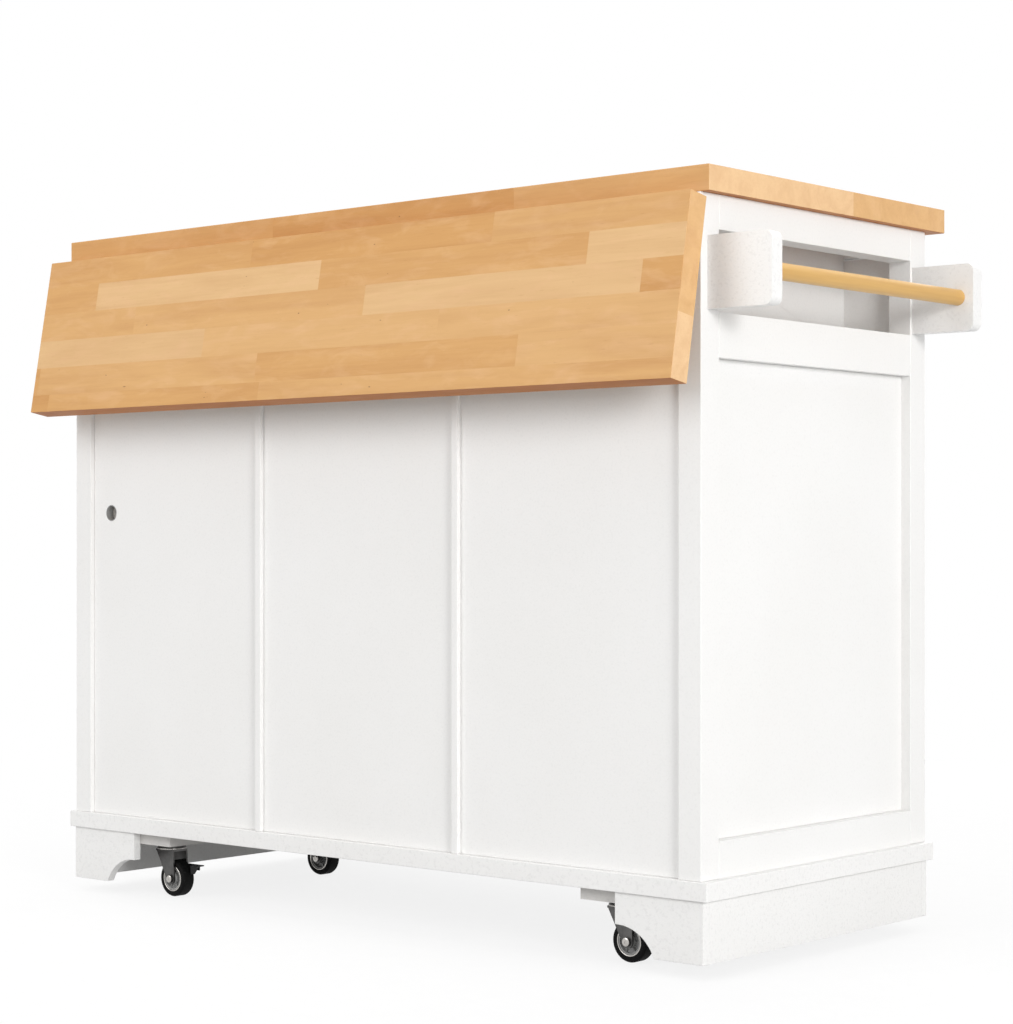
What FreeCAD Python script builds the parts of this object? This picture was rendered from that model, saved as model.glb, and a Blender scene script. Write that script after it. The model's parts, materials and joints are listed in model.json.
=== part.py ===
import FreeCAD, Part
import os
import re
import Sketcher

# Rolling kitchen serving cart with a wooden worktop and a drop leaf.
# Places are measured from the middle of the worktop's length, from its leaf-side edge and from the floor.
# The leaf hangs on the -Y side, the towel rack stands out at the +X end, doors and drawers face +Y.

SIZES = {
    # worktop
    "slab_length": 1118,
    "slab_depth": 510,
    "slab_thick": 30,
    # carcass
    "end_overhang": 11.5,
    "front_overhang": 29,
    "carcass_height": 776,
    "post_wide": 32,
    "post_deep": 35,
    # base board and bracket feet
    "base_thick": 22,
    "base_end_proud": 10.25,
    "base_face_proud": 3,
    "foot_height": 72,
    "foot_wide": 126,
    "foot_thick": 12,
    "foot_edge": 38,
    "foot_ledge": 5,
    "cove_radius": 56,
    "foot_inset": 0.7,
    "foot_end_proud": 2.3,
    # back panels, battens and partitions
    "panel_recess": 6.5,
    "panel_thick": 12,
    "batten_wide": 10.5,
    "middle_bay_wide": 331,
    "partition_thick": 18,
    "back_rail_tall": 110,
    "cable_hole_radius": 11,
    "cable_hole_inset": 68.5,
    "cable_hole_rise": 421.5,
    # end frames and niche
    "end_top_rail_tall": 40,
    "niche_tall": 93.5,
    "end_mid_rail_tall": 51.5,
    "end_bottom_rail_tall": 42.5,
    "end_panel_recess": 13,
    "end_panel_thick": 6,
    "niche_depth": 110,
    "niche_board": 10,
    "niche_lip": 5,
    # front frame and shelves
    "front_board": 18,
    "front_rail_tall": 28,
    "drawer_opening_tall": 145,
    "mid_rail_tall": 24,
    "front_gap": 2,
    "shelf_rise": 289,
    "shelf_thick": 18,
    "shelf_setback": 64.5,
    "cleat_wide": 12,
    "cleat_tall": 16,
    # drawers
    "box_back_clear": 64.5,
    "box_tall": 100,
    "box_lift": 14,
    "box_board": 12,
    "box_floor": 6,
    "runner_thick": 6,
    "runner_tall": 20,
    "runner_rise": 40,
    "runner_gap": 0.4,
    # doors
    "door_stile": 55,
    "door_panel_recess": 7,
    "door_panel_thick": 6,
    "door_hinge_inset": 80,
    "door_hinge_tall": 50,
    "door_flap_thick": 1.5,
    "door_flap_wide": 13,
    "door_barrel": 3,
    "door_pin": 1.4,
    # knobs
    "knob_radius": 14,
    "knob_rim": 4,
    "knob_neck": 6,
    "knob_foot": 9,
    "knob_foot_thick": 3,
    "knob_reach": 25,
    "knob_crown": 4,
    "door_knob_inset": 27.5,
    "door_knob_drop": 90,
    # drop leaf, its hinges and its stops
    "leaf_width": 215,
    "leaf_gap": 1,
    "leaf_hang": 80,
    "leaf_pin_inset": 1.5,
    "leaf_pin_drop": 6,
    "leaf_barrel": 4.2,
    "leaf_pin": 1.8,
    "leaf_flap_thick": 2,
    "leaf_flap_wide": 30,
    "leaf_hinge_long": 70,
    "leaf_hinge_inset": 159,
    "buffer_radius": 7,
    "buffer_drop": 90,
    "buffer_spread": 150,
    "buffer_clear": 0.3,
    # folding braces under the leaf
    "brace_wide": 16,
    "brace_thick": 12,
    "brace_head": 8,
    "brace_spread": 300,
    "brace_pivot_out": 7,
    "brace_pivot_drop": 84,
    "brace_tip_clear": 0.6,
    "brace_pin": 2.5,
    "cheek_thick": 2.5,
    "cheek_gap": 0.4,
    "cheek_half": 9,
    "cheek_nose": 7,
    # towel rack
    "bracket_reach": 88,
    "bracket_tall": 83.3,
    "bracket_thick": 20,
    "bracket_round": 10,
    "bracket_rise": 1.8,
    "bracket_inset": 12,
    "rod_radius": 10,
    "rod_setback": 22,
    "rod_seat": 10,
    # casters
    "block_wide": 78,
    "block_deep": 75,
    "block_thick": 16,
    "caster_inset": 146,
    "caster_spread": 285,
    "caster_height": 73,
    "caster_trail": 12,
    "plate_long": 38,
    "plate_wide": 34,
    "plate_thick": 2.5,
    "cup_radius": 17,
    "cup_tall": 2.5,
    "swivel_gap": 0.3,
    "race_radius": 20,
    "race_tall": 3,
    "crown_half": 17.5,
    "crown_thick": 2.5,
    "kingpin": 4,
    "kingpin_head": 7,
    "kingpin_head_tall": 2,
    "leg_thick": 2.2,
    "leg_gap": 1.2,
    "leg_foot": 8,
    "axle": 4,
    "axle_head": 5.5,
    "axle_head_tall": 2.5,
    "wheel_radius": 25,
    "wheel_wide": 20,
    "tyre_thick": 7,
    "tyre_shoulder": 3,
    "hub_rim_thick": 4,
    "hub_web": 9,
    "hub_boss": 8,
    "hub_wide": 18,
    # brake pedals
    "pedal_pivot_out": 18,
    "pedal_pivot_rise": 15,
    "pedal_pin": 2,
    "pedal_arm_thick": 2,
    "pedal_arm_half": 4,
    "pedal_shoe_out": 38.5,
    "pedal_shoe_thick": 3,
    "pedal_shoe_drop": 8,
    "pedal_shoe_foot": 6,
    "pedal_lip_reach": 50,
    "pedal_lip_thick": 1.5,
    # shared clearances
    "pin_clear": 0.05,
    "side_clear": 0.3,
}

PLACES = {
    # main planes of the carcass
    "carcass_x": "slab_length / 2 - end_overhang",
    "carcass_y": "slab_depth - front_overhang",
    "foot_clear": "caster_height + block_thick - foot_height",
    "base_z": "foot_clear + foot_height",
    "deck_z": "base_z + base_thick",
    "slab_z": "deck_z + carcass_height",
    "top_z": "slab_z + slab_thick",
    "post_x": "carcass_x - post_wide",
    "front_post_y": "carcass_y - post_deep",
    "back_y": "panel_recess + panel_thick",
    "front_y": "carcass_y - front_board",
    "bay_x": "middle_bay_wide / 2",
    "partition_x": "bay_x + partition_thick",
    "batten_x": "bay_x + partition_thick / 2",
    "back_rail_z": "slab_z - back_rail_tall",
    # end frames and niche
    "niche_top_z": "slab_z - end_top_rail_tall",
    "niche_z": "niche_top_z - niche_tall",
    "end_mid_z": "niche_z - end_mid_rail_tall",
    "end_low_z": "deck_z + end_bottom_rail_tall",
    "end_panel_x": "carcass_x - end_panel_recess",
    "niche_back_x": "carcass_x - niche_depth",
    "niche_floor_z": "niche_z - niche_lip",
    # front
    "drawer_top_z": "slab_z - front_rail_tall",
    "drawer_low_z": "drawer_top_z - drawer_opening_tall",
    "door_top_z": "drawer_low_z - mid_rail_tall",
    "shelf_z": "deck_z + shelf_rise",
    "shelf_front_y": "front_y - shelf_setback",
    "box_back_y": "back_y + box_back_clear",
    "box_inset": "2 * runner_thick + runner_gap",
    "box_z": "drawer_low_z + box_lift",
    "runner_z": "drawer_low_z + runner_rise",
    "door_pin_y": "carcass_y + door_barrel + side_clear",
    # leaf, hinge pin and braces
    "leaf_pin_z": "slab_z - leaf_pin_drop",
    "leaf_near": "leaf_pin_inset + leaf_gap",
    "leaf_far": "leaf_near + leaf_width",
    "hang_cos": "cos(leaf_hang * 1 deg)",
    "hang_sin": "sin(leaf_hang * 1 deg)",
    "leaf_face_y": "leaf_pin_inset - leaf_far * hang_cos - (leaf_pin_drop + slab_thick) * hang_sin",
    "buffer_z": "leaf_pin_z - buffer_drop",
    "buffer_out": "(leaf_pin_drop * hang_cos + buffer_drop - buffer_radius) / hang_sin",
    "buffer_end_y": "leaf_pin_inset - buffer_out * hang_cos - leaf_pin_drop * hang_sin + buffer_clear",
    "brace_z": "slab_z - brace_pivot_drop",
    "brace_tip": "(brace_pivot_drop - brace_tip_clear) * sqrt(2)",
    "hinge_face_y": "panel_recess - leaf_flap_thick",
    "leaf_hinge_x": "slab_length / 2 - leaf_hinge_inset",
    # towel rack
    "rack_x": "carcass_x + bracket_reach",
    "rack_z": "niche_z + bracket_rise",
    "rod_x": "rack_x - rod_setback",
    "rod_z": "rack_z + bracket_tall / 2",
    "rack_front_y": "carcass_y - bracket_inset",
    # feet and casters
    "foot_x": "carcass_x + foot_end_proud",
    "foot_back_y": "foot_inset + foot_thick",
    "foot_front_y": "carcass_y - foot_inset - foot_thick",
    "caster_x": "carcass_x - caster_inset",
    "caster_back_y": "foot_back_y + block_deep / 2",
    "caster_front_y": "caster_back_y + caster_spread",
    "plate_z": "caster_height - plate_thick",
    "cup_z": "plate_z - cup_tall",
    "race_top_z": "cup_z - swivel_gap",
    "crown_top_z": "race_top_z - race_tall",
    "crown_z": "crown_top_z - crown_thick",
    "kingpin_z": "crown_z - swivel_gap - kingpin_head_tall",
    "leg_in": "wheel_wide / 2 + leg_gap",
    "leg_out": "leg_in + leg_thick",
    "hub_radius": "wheel_radius - tyre_thick",
    "pedal_z": "wheel_radius + pedal_pivot_rise",
    "pedal_arm_in": "leg_out + side_clear",
    "pedal_arm_out": "pedal_arm_in + pedal_arm_thick",
    # middle of the outer box, which becomes the origin
    "origin_x": "(rack_x - slab_length / 2) / 2",
    "origin_y": "(slab_depth + leaf_face_y) / 2",
}

AXIS_TURNS = {
    "X": FreeCAD.Rotation(FreeCAD.Vector(0, 1, 0), 90),
    "Y": FreeCAD.Rotation(FreeCAD.Vector(1, 0, 0), -90),
    "Z": FreeCAD.Rotation(),
}
CASTERS = {
    "back_left": ("-caster_x", "caster_back_y"),
    "back_right": ("caster_x", "caster_back_y"),
    "front_left": ("-caster_x", "caster_front_y"),
    "front_right": ("caster_x", "caster_front_y"),
}
BAYS = {
    "left": ("-post_x", "-partition_x"),
    "middle": ("-bay_x", "bay_x"),
    "right": ("partition_x", "post_x"),
}

doc = FreeCAD.newDocument("serving_cart")
nodes = []


def ref(text):
    """Give each size or place in an expression the name of the sheet that holds it."""

    def full_name(match):
        word = match.group(0)
        if word in SIZES:
            return "Sizes." + word
        if word in PLACES:
            return "Places." + word
        return word

    return re.sub(r"[A-Za-z_]\w*", full_name, text)


def fill_sheet(name, rows):
    sheet = doc.addObject("Spreadsheet::Sheet", name)
    for row, (alias, entry) in enumerate(rows.items(), start=1):
        sheet.set(f"A{row}", alias)
        sheet.set(f"B{row}", entry)
        sheet.setAlias(f"B{row}", alias)
    doc.recompute()
    return sheet


sizes = fill_sheet("Sizes", {alias: str(size) for alias, size in SIZES.items()})
places = fill_sheet("Places", {alias: "=" + ref(text) for alias, text in PLACES.items()})


def value(text):
    """The present value of an expression, as a plain number."""
    return float(sizes.evalExpression(ref(text)))


def bind(target, prop, text):
    target.setExpression(prop, ref(text))


def place(target, x, y, z):
    bind(target, "Placement.Base.x", f"{x} - origin_x")
    bind(target, "Placement.Base.y", f"{y} - origin_y")
    bind(target, "Placement.Base.z", z)


def keep(target):
    """Count an object as one of the sub-parts that are written out."""
    nodes.append(target)
    return target


def mirrored(span):
    low, high = span
    return (f"-({high})", f"-({low})")


def around(centre, half):
    return (f"{centre} - ({half})", f"{centre} + ({half})")


def box(name, x, y, z):
    """A board between low and high places along each axis."""
    solid = doc.addObject("Part::Box", name)
    for prop, (low, high) in zip(("Length", "Width", "Height"), (x, y, z)):
        bind(solid, prop, f"({high}) - ({low})")
    place(solid, x[0], y[0], z[0])
    return solid


def cylinder(name, axis, radius, x, y, z, length):
    """A round bar that starts at a place and runs along an axis."""
    solid = doc.addObject("Part::Cylinder", name)
    solid.Placement = FreeCAD.Placement(FreeCAD.Vector(), AXIS_TURNS[axis])
    bind(solid, "Radius", radius)
    bind(solid, "Height", length)
    place(solid, x, y, z)
    return solid


def fuse(name, *solids):
    joined = doc.addObject("Part::MultiFuse", name)
    joined.Shapes = list(solids)
    return joined


def cut(name, base, tool):
    rest = doc.addObject("Part::Cut", name)
    rest.Base = base
    rest.Tool = tool
    return rest


def group(name, solids):
    """Separate solids that share one sub-part."""
    together = doc.addObject("Part::Compound", name)
    together.Links = list(solids)
    return keep(together)


def origin_plane(body, role):
    for feature in body.Origin.OriginFeatures:
        if feature.Role == role:
            return feature
    raise ValueError(role)


def outline(body, name, role, points):
    """A closed sketch of straight edges whose corners are bound to expressions."""
    sketch = body.newObject("Sketcher::SketchObject", name)
    sketch.AttachmentSupport = (origin_plane(body, role), [""])
    sketch.MapMode = "FlatFace"
    corners = [FreeCAD.Vector(value(across), value(along), 0) for across, along in points]
    for index, corner in enumerate(corners):
        following = corners[(index + 1) % len(corners)]
        sketch.addGeometry(Part.LineSegment(corner, following))
    for index in range(len(points)):
        following = (index + 1) % len(points)
        sketch.addConstraint(Sketcher.Constraint("Coincident", index, 2, following, 1))
    for index, texts in enumerate(points):
        for kind, text, place_now in zip(("DistanceX", "DistanceY"), texts, corners[index]):
            constraint = Sketcher.Constraint(kind, -1, 1, index, 1, place_now)
            number = sketch.addConstraint(constraint)
            bind(sketch, f"Constraints[{number}]", text)
    return sketch


def padded(name, role, points, depth):
    body = doc.addObject("PartDesign::Body", name)
    pad = body.newObject("PartDesign::Pad", name + "_pad")
    pad.Profile = outline(body, name + "_outline", role, points)
    bind(pad, "Length", depth)
    body.Tip = pad
    doc.recompute()
    return body


def revolved(name, points, axis, x, y, z):
    """A turned piece: each point is a radius and a distance along the axis."""
    body = doc.addObject("PartDesign::Body", name)
    profile = outline(body, name + "_profile", "XZ_Plane", points)
    turning = body.newObject("PartDesign::Revolution", name + "_turning")
    turning.Profile = profile
    turning.ReferenceAxis = (profile, ["V_Axis"])
    turning.Angle = 360
    body.Tip = turning
    body.Placement = FreeCAD.Placement(FreeCAD.Vector(), AXIS_TURNS[axis])
    place(body, x, y, z)
    return body


def make_worktop():
    keep(box("worktop", around("0", "slab_length / 2"), ("0", "slab_depth"), ("slab_z", "top_z")))


def make_posts():
    right = ("post_x", "carcass_x")
    depths = {"back": ("0", "post_deep"), "front": ("front_post_y", "carcass_y")}
    posts = []
    for face, depth in depths.items():
        for side, span in (("left", mirrored(right)), ("right", right)):
            posts.append(box(f"post_{face}_{side}", span, depth, ("deck_z", "slab_z")))
    group("corner_posts", posts)


def make_base():
    length = around("0", "carcass_x + base_end_proud")
    depth = ("-base_face_proud", "carcass_y + base_face_proud")
    keep(box("base_board", length, depth, ("base_z", "deck_z")))


def foot_board(name, mirror, depth):
    """A bracket foot: a board with a ledge and a cove cut out of its lower inner corner."""
    board_x = ("foot_x - foot_wide", "foot_x")
    ledge_x = ("foot_x - foot_wide", "foot_x - foot_wide + foot_ledge")
    cove_x = "foot_x - foot_wide + foot_ledge"
    cove_z = "base_z - foot_edge"
    if mirror:
        board_x = mirrored(board_x)
        ledge_x = mirrored(ledge_x)
        cove_x = f"-({cove_x})"
    board = box(name + "_board", board_x, depth, ("foot_clear", "base_z"))
    ledge = box(name + "_ledge", ledge_x, depth, ("foot_clear", cove_z))
    width = f"({depth[1]}) - ({depth[0]})"
    cove = cylinder(name + "_cove", "Y", "cove_radius", cove_x, depth[0], f"{cove_z} - cove_radius", width)
    return cut(name, board, fuse(name + "_waste", ledge, cove))


def make_feet():
    depths = {"back": ("foot_inset", "foot_back_y"), "front": ("foot_front_y", "carcass_y - foot_inset")}
    boards = []
    for face, depth in depths.items():
        for side in ("left", "right"):
            boards.append(foot_board(f"foot_{face}_{side}", side == "left", depth))
    group("foot_boards", boards)
    skirt_x = ("foot_x - foot_thick", "foot_x")
    skirt_y = ("foot_back_y", "foot_front_y")
    skirts = []
    for side, span in (("left", mirrored(skirt_x)), ("right", skirt_x)):
        skirts.append(box(f"end_skirt_{side}", span, skirt_y, ("foot_clear", "base_z")))
    group("end_skirts", skirts)


def make_back():
    depth = ("panel_recess", "back_y")
    height = ("deck_z", "back_rail_z")
    left = box("back_panel_left_board", ("-post_x", "-batten_x"), depth, height)
    hole_x = "-carcass_x + cable_hole_inset"
    hole_z = "deck_z + cable_hole_rise"
    hole = cylinder("cable_hole", "Y", "cable_hole_radius", hole_x, "panel_recess", hole_z, "panel_thick")
    keep(cut("back_panel_left", left, hole))
    keep(box("back_panel_middle", around("0", "batten_x"), depth, height))
    keep(box("back_panel_right", ("batten_x", "post_x"), depth, height))
    keep(box("back_top_rail", around("0", "post_x"), depth, ("back_rail_z", "slab_z")))
    batten_y = ("0", "panel_recess")
    right = around("batten_x", "batten_wide / 2")
    battens = []
    for side, span in (("left", mirrored(right)), ("right", right)):
        battens.append(box(f"batten_{side}", span, batten_y, height))
    group("back_battens", battens)


def make_ends():
    depth = ("post_deep", "front_post_y")
    right = ("post_x", "carcass_x")
    top = ("niche_top_z", "slab_z")
    middle = ("end_mid_z", "niche_z")
    bottom = ("deck_z", "end_low_z")
    right_rails = {"top": top, "middle": middle, "bottom": bottom}
    left_rails = {"top": top, "bottom": bottom}
    rails = [box(f"rail_right_{name}", right, depth, z) for name, z in right_rails.items()]
    rails += [box(f"rail_left_{name}", mirrored(right), depth, z) for name, z in left_rails.items()]
    group("end_rails", rails)
    panel = ("end_panel_x - end_panel_thick", "end_panel_x")
    keep(box("end_panel_right", panel, depth, ("end_low_z", "end_mid_z")))
    keep(box("end_panel_left", mirrored(panel), depth, ("end_low_z", "niche_top_z")))


def make_niche():
    depth = ("back_y", "front_y")
    back_x = ("niche_back_x - niche_board", "niche_back_x")
    floor_z = ("niche_floor_z - niche_board", "niche_floor_z")
    back = box("niche_back", back_x, depth, (floor_z[0], "slab_z"))
    floor = box("niche_floor", ("niche_back_x", "post_x"), depth, floor_z)
    group("niche_boards", [back, floor])


def make_partitions():
    right = ("bay_x", "partition_x")
    boards = []
    for side, span in (("left", mirrored(right)), ("right", right)):
        boards.append(box(f"partition_{side}", span, ("back_y", "carcass_y"), ("deck_z", "slab_z")))
    group("partitions", boards)


def make_front_frame():
    depth = ("front_y", "carcass_y")
    boards = []
    for bay, span in BAYS.items():
        boards.append(box(f"front_top_rail_{bay}", span, depth, ("drawer_top_z", "slab_z")))
        boards.append(box(f"front_mid_rail_{bay}", span, depth, ("door_top_z", "drawer_low_z")))
    group("front_rails", boards)
    low, high = BAYS["right"]
    front_x = (f"{low} + front_gap", f"{high} - front_gap")
    front_z = ("drawer_low_z + front_gap", "drawer_top_z - front_gap")
    keep(box("false_front", front_x, depth, front_z))


def make_shelves():
    height = ("shelf_z - shelf_thick", "shelf_z")
    short = ("back_y", "shelf_front_y")
    full = ("back_y", "front_y")
    depths = {"left": full, "middle": short, "right": short}
    group("shelves", [box(f"shelf_{bay}", span, depths[bay], height) for bay, span in BAYS.items()])
    cleat_z = ("shelf_z - shelf_thick - cleat_tall", "shelf_z - shelf_thick")
    cleat_y = ("back_y", "front_y - front_gap")
    cleats = []
    for bay, (low, high) in BAYS.items():
        cleats.append(box(f"cleat_{bay}_low", (low, f"{low} + cleat_wide"), cleat_y, cleat_z))
        cleats.append(box(f"cleat_{bay}_high", (f"{high} - cleat_wide", high), cleat_y, cleat_z))
    group("shelf_cleats", cleats)


def knob(name, x, z):
    """A turned knob: foot, neck and a rounded head, standing out along +Y."""
    points = (
        ("0", "0"),
        ("knob_foot", "0"),
        ("knob_foot", "knob_foot_thick"),
        ("knob_neck", "2 * knob_foot_thick"),
        ("knob_neck", "knob_reach - knob_crown - 2 * knob_rim"),
        ("knob_radius", "knob_reach - knob_crown - knob_rim"),
        ("knob_radius", "knob_reach - knob_crown"),
        ("knob_radius - knob_rim", "knob_reach"),
        ("0", "knob_reach"),
    )
    keep(revolved(name, points, "Y", x, "carcass_y", z))


def drawer(bay):
    low, high = BAYS[bay]
    front_x = (f"{low} + front_gap", f"{high} - front_gap")
    front_z = ("drawer_low_z + front_gap", "drawer_top_z - front_gap")
    keep(box(f"drawer_front_{bay}", front_x, ("front_y", "carcass_y"), front_z))
    depth = ("box_back_y", "front_y")
    back_y = ("box_back_y", "box_back_y + box_board")
    floor_y = (back_y[1], "front_y")
    wall_z = ("box_z", "box_z + box_tall")
    runner_z = ("runner_z", "runner_z + runner_tall")
    inner = (f"{low} + box_inset + box_board", f"{high} - box_inset - box_board")
    boards = {
        "side_low": ((f"{low} + box_inset", inner[0]), depth, wall_z),
        "side_high": ((inner[1], f"{high} - box_inset"), depth, wall_z),
        "back": (inner, back_y, wall_z),
        "floor": (inner, floor_y, ("box_z", "box_z + box_floor")),
        "slide_low": ((f"{low} + runner_thick + runner_gap", f"{low} + box_inset"), depth, runner_z),
        "slide_high": ((f"{high} - box_inset", f"{high} - runner_thick - runner_gap"), depth, runner_z),
    }
    group(f"drawer_box_{bay}", [box(f"drawer_{bay}_{name}", *spans) for name, spans in boards.items()])
    knob(f"drawer_knob_{bay}", f"({low} + {high}) / 2", "(drawer_low_z + drawer_top_z) / 2")


def make_drawers():
    runner_z = ("runner_z", "runner_z + runner_tall")
    runner_y = ("back_y", "front_y - front_gap")
    runners = []
    for bay in ("left", "middle"):
        drawer(bay)
        low, high = BAYS[bay]
        runners.append(box(f"runner_{bay}_low", (low, f"{low} + runner_thick"), runner_y, runner_z))
        runners.append(box(f"runner_{bay}_high", (f"{high} - runner_thick", high), runner_y, runner_z))
    group("drawer_runners", runners)


def door_flap(name, pin_x, outward, knuckles, middle_z):
    """Half of a butt hinge: a plate on the face, and tabs that carry its knuckles on the pin."""
    reach = "(door_barrel + side_clear)"
    plate_x = (f"{pin_x} + {reach}", f"{pin_x} + {reach} + door_flap_wide")
    tab_x = (pin_x, f"{pin_x} + {reach}")
    if not outward:
        plate_x = (f"{pin_x} - {reach} - door_flap_wide", f"{pin_x} - {reach}")
        tab_x = (f"{pin_x} - {reach}", pin_x)
    face_y = ("carcass_y", "carcass_y + door_flap_thick")
    solids = [box(name + "_plate", plate_x, face_y, around(middle_z, "door_hinge_tall / 2"))]
    for number, (low, high) in enumerate(knuckles):
        span = (f"{middle_z} + ({low})", f"{middle_z} + ({high})")
        length = f"({high}) - ({low})"
        solids.append(box(f"{name}_tab_{number}", tab_x, face_y, span))
        barrel = f"{name}_barrel_{number}"
        solids.append(cylinder(barrel, "Z", "door_barrel", pin_x, "door_pin_y", span[0], length))
    bore_low = f"{middle_z} - door_hinge_tall / 2"
    bore_radius = "door_pin + pin_clear"
    bore = cylinder(name + "_bore", "Z", bore_radius, pin_x, "door_pin_y", bore_low, "door_hinge_tall")
    return cut(name, fuse(name + "_blank", *solids), bore)


def door(bay, hinge_high, fixed_hardware):
    low, high = BAYS[bay]
    outer_x = (f"{low} + front_gap", f"{high} - front_gap")
    outer_z = ("deck_z + front_gap", "door_top_z - front_gap")
    inner_x = (f"{outer_x[0]} + door_stile", f"{outer_x[1]} - door_stile")
    inner_z = (f"{outer_z[0]} + door_stile", f"{outer_z[1]} - door_stile")
    depth = ("front_y", "carcass_y")
    panel_y = ("carcass_y - door_panel_recess - door_panel_thick", "carcass_y - door_panel_recess")
    boards = {
        "stile_low": ((outer_x[0], inner_x[0]), depth, outer_z),
        "stile_high": ((inner_x[1], outer_x[1]), depth, outer_z),
        "rail_low": (inner_x, depth, (outer_z[0], inner_z[0])),
        "rail_high": (inner_x, depth, (inner_z[1], outer_z[1])),
        "panel": (inner_x, panel_y, inner_z),
    }
    group(f"door_{bay}", [box(f"door_{bay}_{name}", *spans) for name, spans in boards.items()])
    knob_x = f"{outer_x[0]} + door_knob_inset" if hinge_high else f"{outer_x[1]} - door_knob_inset"
    knob(f"door_knob_{bay}", knob_x, f"{outer_z[1]} - door_knob_drop")
    pin_x = f"{high} - front_gap / 2" if hinge_high else f"{low} + front_gap / 2"
    half = "door_hinge_tall / 2"
    third = "door_hinge_tall / 6"
    outer_knuckles = ((f"-{half}", f"-{third}"), (third, half))
    inner_knuckles = ((f"-{third} + side_clear", f"{third} - side_clear"),)
    moving = []
    levels = {"low": f"{outer_z[0]} + door_hinge_inset", "high": f"{outer_z[1]} - door_hinge_inset"}
    for level, middle_z in levels.items():
        name = f"door_hinge_{bay}_{level}"
        fixed_hardware.append(door_flap(name + "_fixed", pin_x, hinge_high, outer_knuckles, middle_z))
        pin_place = (pin_x, "door_pin_y", f"{middle_z} - {half}")
        fixed_hardware.append(cylinder(name + "_pin", "Z", "door_pin", *pin_place, "door_hinge_tall"))
        moving.append(door_flap(name + "_moving", pin_x, not hinge_high, inner_knuckles, middle_z))
    group(f"door_hinge_flaps_{bay}", moving)


def make_doors():
    fixed_hardware = []
    door("middle", False, fixed_hardware)
    door("right", True, fixed_hardware)
    group("door_hinges_fixed", fixed_hardware)


def hanging(name, x, out, up):
    """A board given by its distances out from and up from the hinge pin when raised, turned down to hang."""
    solid = doc.addObject("Part::Box", name)
    for prop, (low, high) in zip(("Length", "Width", "Height"), (x, out, up)):
        bind(solid, prop, f"({high}) - ({low})")
    solid.Placement = FreeCAD.Placement(FreeCAD.Vector(), FreeCAD.Rotation(FreeCAD.Vector(1, 0, 0), 1))
    bind(solid, "Placement.Rotation.Angle", "leaf_hang * 1 deg")
    corner_y = f"leaf_pin_inset - ({out[1]}) * hang_cos - ({up[0]}) * hang_sin"
    corner_z = f"leaf_pin_z - ({out[1]}) * hang_sin + ({up[0]}) * hang_cos"
    place(solid, x[0], corner_y, corner_z)
    return solid


def leaf_hinge(number, middle_x):
    """One leaf hinge: fixed half with its pin on the back rail, moving half under the leaf."""
    half = "leaf_hinge_long / 2"
    third = "leaf_hinge_long / 6"
    reach = "(leaf_barrel + side_clear)"
    length_x = around(middle_x, half)
    fixed_name = f"leaf_hinge_{number}_fixed"
    plate_z = (f"leaf_pin_z - {reach} - leaf_flap_wide", f"leaf_pin_z - {reach}")
    face_y = ("hinge_face_y", "panel_recess")
    fixed = [box(fixed_name + "_plate", length_x, face_y, plate_z)]
    for end, low, high in (("low", f"-{half}", f"-{third}"), ("high", third, half)):
        span = (f"{middle_x} + ({low})", f"{middle_x} + ({high})")
        length = f"({high}) - ({low})"
        fixed.append(box(f"{fixed_name}_tab_{end}", span, face_y, (plate_z[1], "leaf_pin_z")))
        barrel = f"{fixed_name}_barrel_{end}"
        fixed.append(cylinder(barrel, "X", "leaf_barrel", span[0], "leaf_pin_inset", "leaf_pin_z", length))
    moving_name = f"leaf_hinge_{number}_moving"
    inner_x = around(middle_x, f"{third} - side_clear")
    moving_length = f"2 * ({third} - side_clear)"
    flap_up = ("leaf_pin_drop - leaf_flap_thick", "leaf_pin_drop")
    tab_up = ("leaf_barrel - leaf_flap_thick", "(leaf_barrel + leaf_pin_drop) / 2")
    barrel_place = (inner_x[0], "leaf_pin_inset", "leaf_pin_z")
    moving = [
        hanging(moving_name + "_plate", length_x, (reach, f"{reach} + leaf_flap_wide"), flap_up),
        hanging(moving_name + "_tab", inner_x, ("0", reach), tab_up),
        cylinder(moving_name + "_barrel", "X", "leaf_barrel", *barrel_place, moving_length),
    ]
    bore_radius = "leaf_pin + pin_clear"
    pin_place = (length_x[0], "leaf_pin_inset", "leaf_pin_z", "leaf_hinge_long")
    halves = []
    for name, solids in ((fixed_name, fixed), (moving_name, moving)):
        bore = cylinder(name + "_bore", "X", bore_radius, *pin_place)
        halves.append(cut(name, fuse(name + "_blank", *solids), bore))
    pin = cylinder(f"leaf_hinge_{number}_pin", "X", "leaf_pin", *pin_place)
    return halves[0], halves[1], pin


def make_leaf():
    leaf_up = ("leaf_pin_drop", "leaf_pin_drop + slab_thick")
    keep(hanging("leaf", around("0", "slab_length / 2"), ("leaf_near", "leaf_far"), leaf_up))
    middles = ("-leaf_hinge_x", "0", "leaf_hinge_x")
    hinges = [leaf_hinge(number, middle_x) for number, middle_x in enumerate(middles)]
    group("leaf_hinges_fixed", [part for fixed, moving, pin in hinges for part in (fixed, pin)])
    group("leaf_hinges_moving", [moving for fixed, moving, pin in hinges])
    length = "panel_recess - buffer_end_y"
    buffers = []
    for side, x in (("left", "-buffer_spread"), ("right", "buffer_spread")):
        start = (x, "buffer_end_y", "buffer_z")
        buffers.append(cylinder(f"buffer_{side}", "Y", "buffer_radius", *start, length))
    group("leaf_buffers", buffers)


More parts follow.
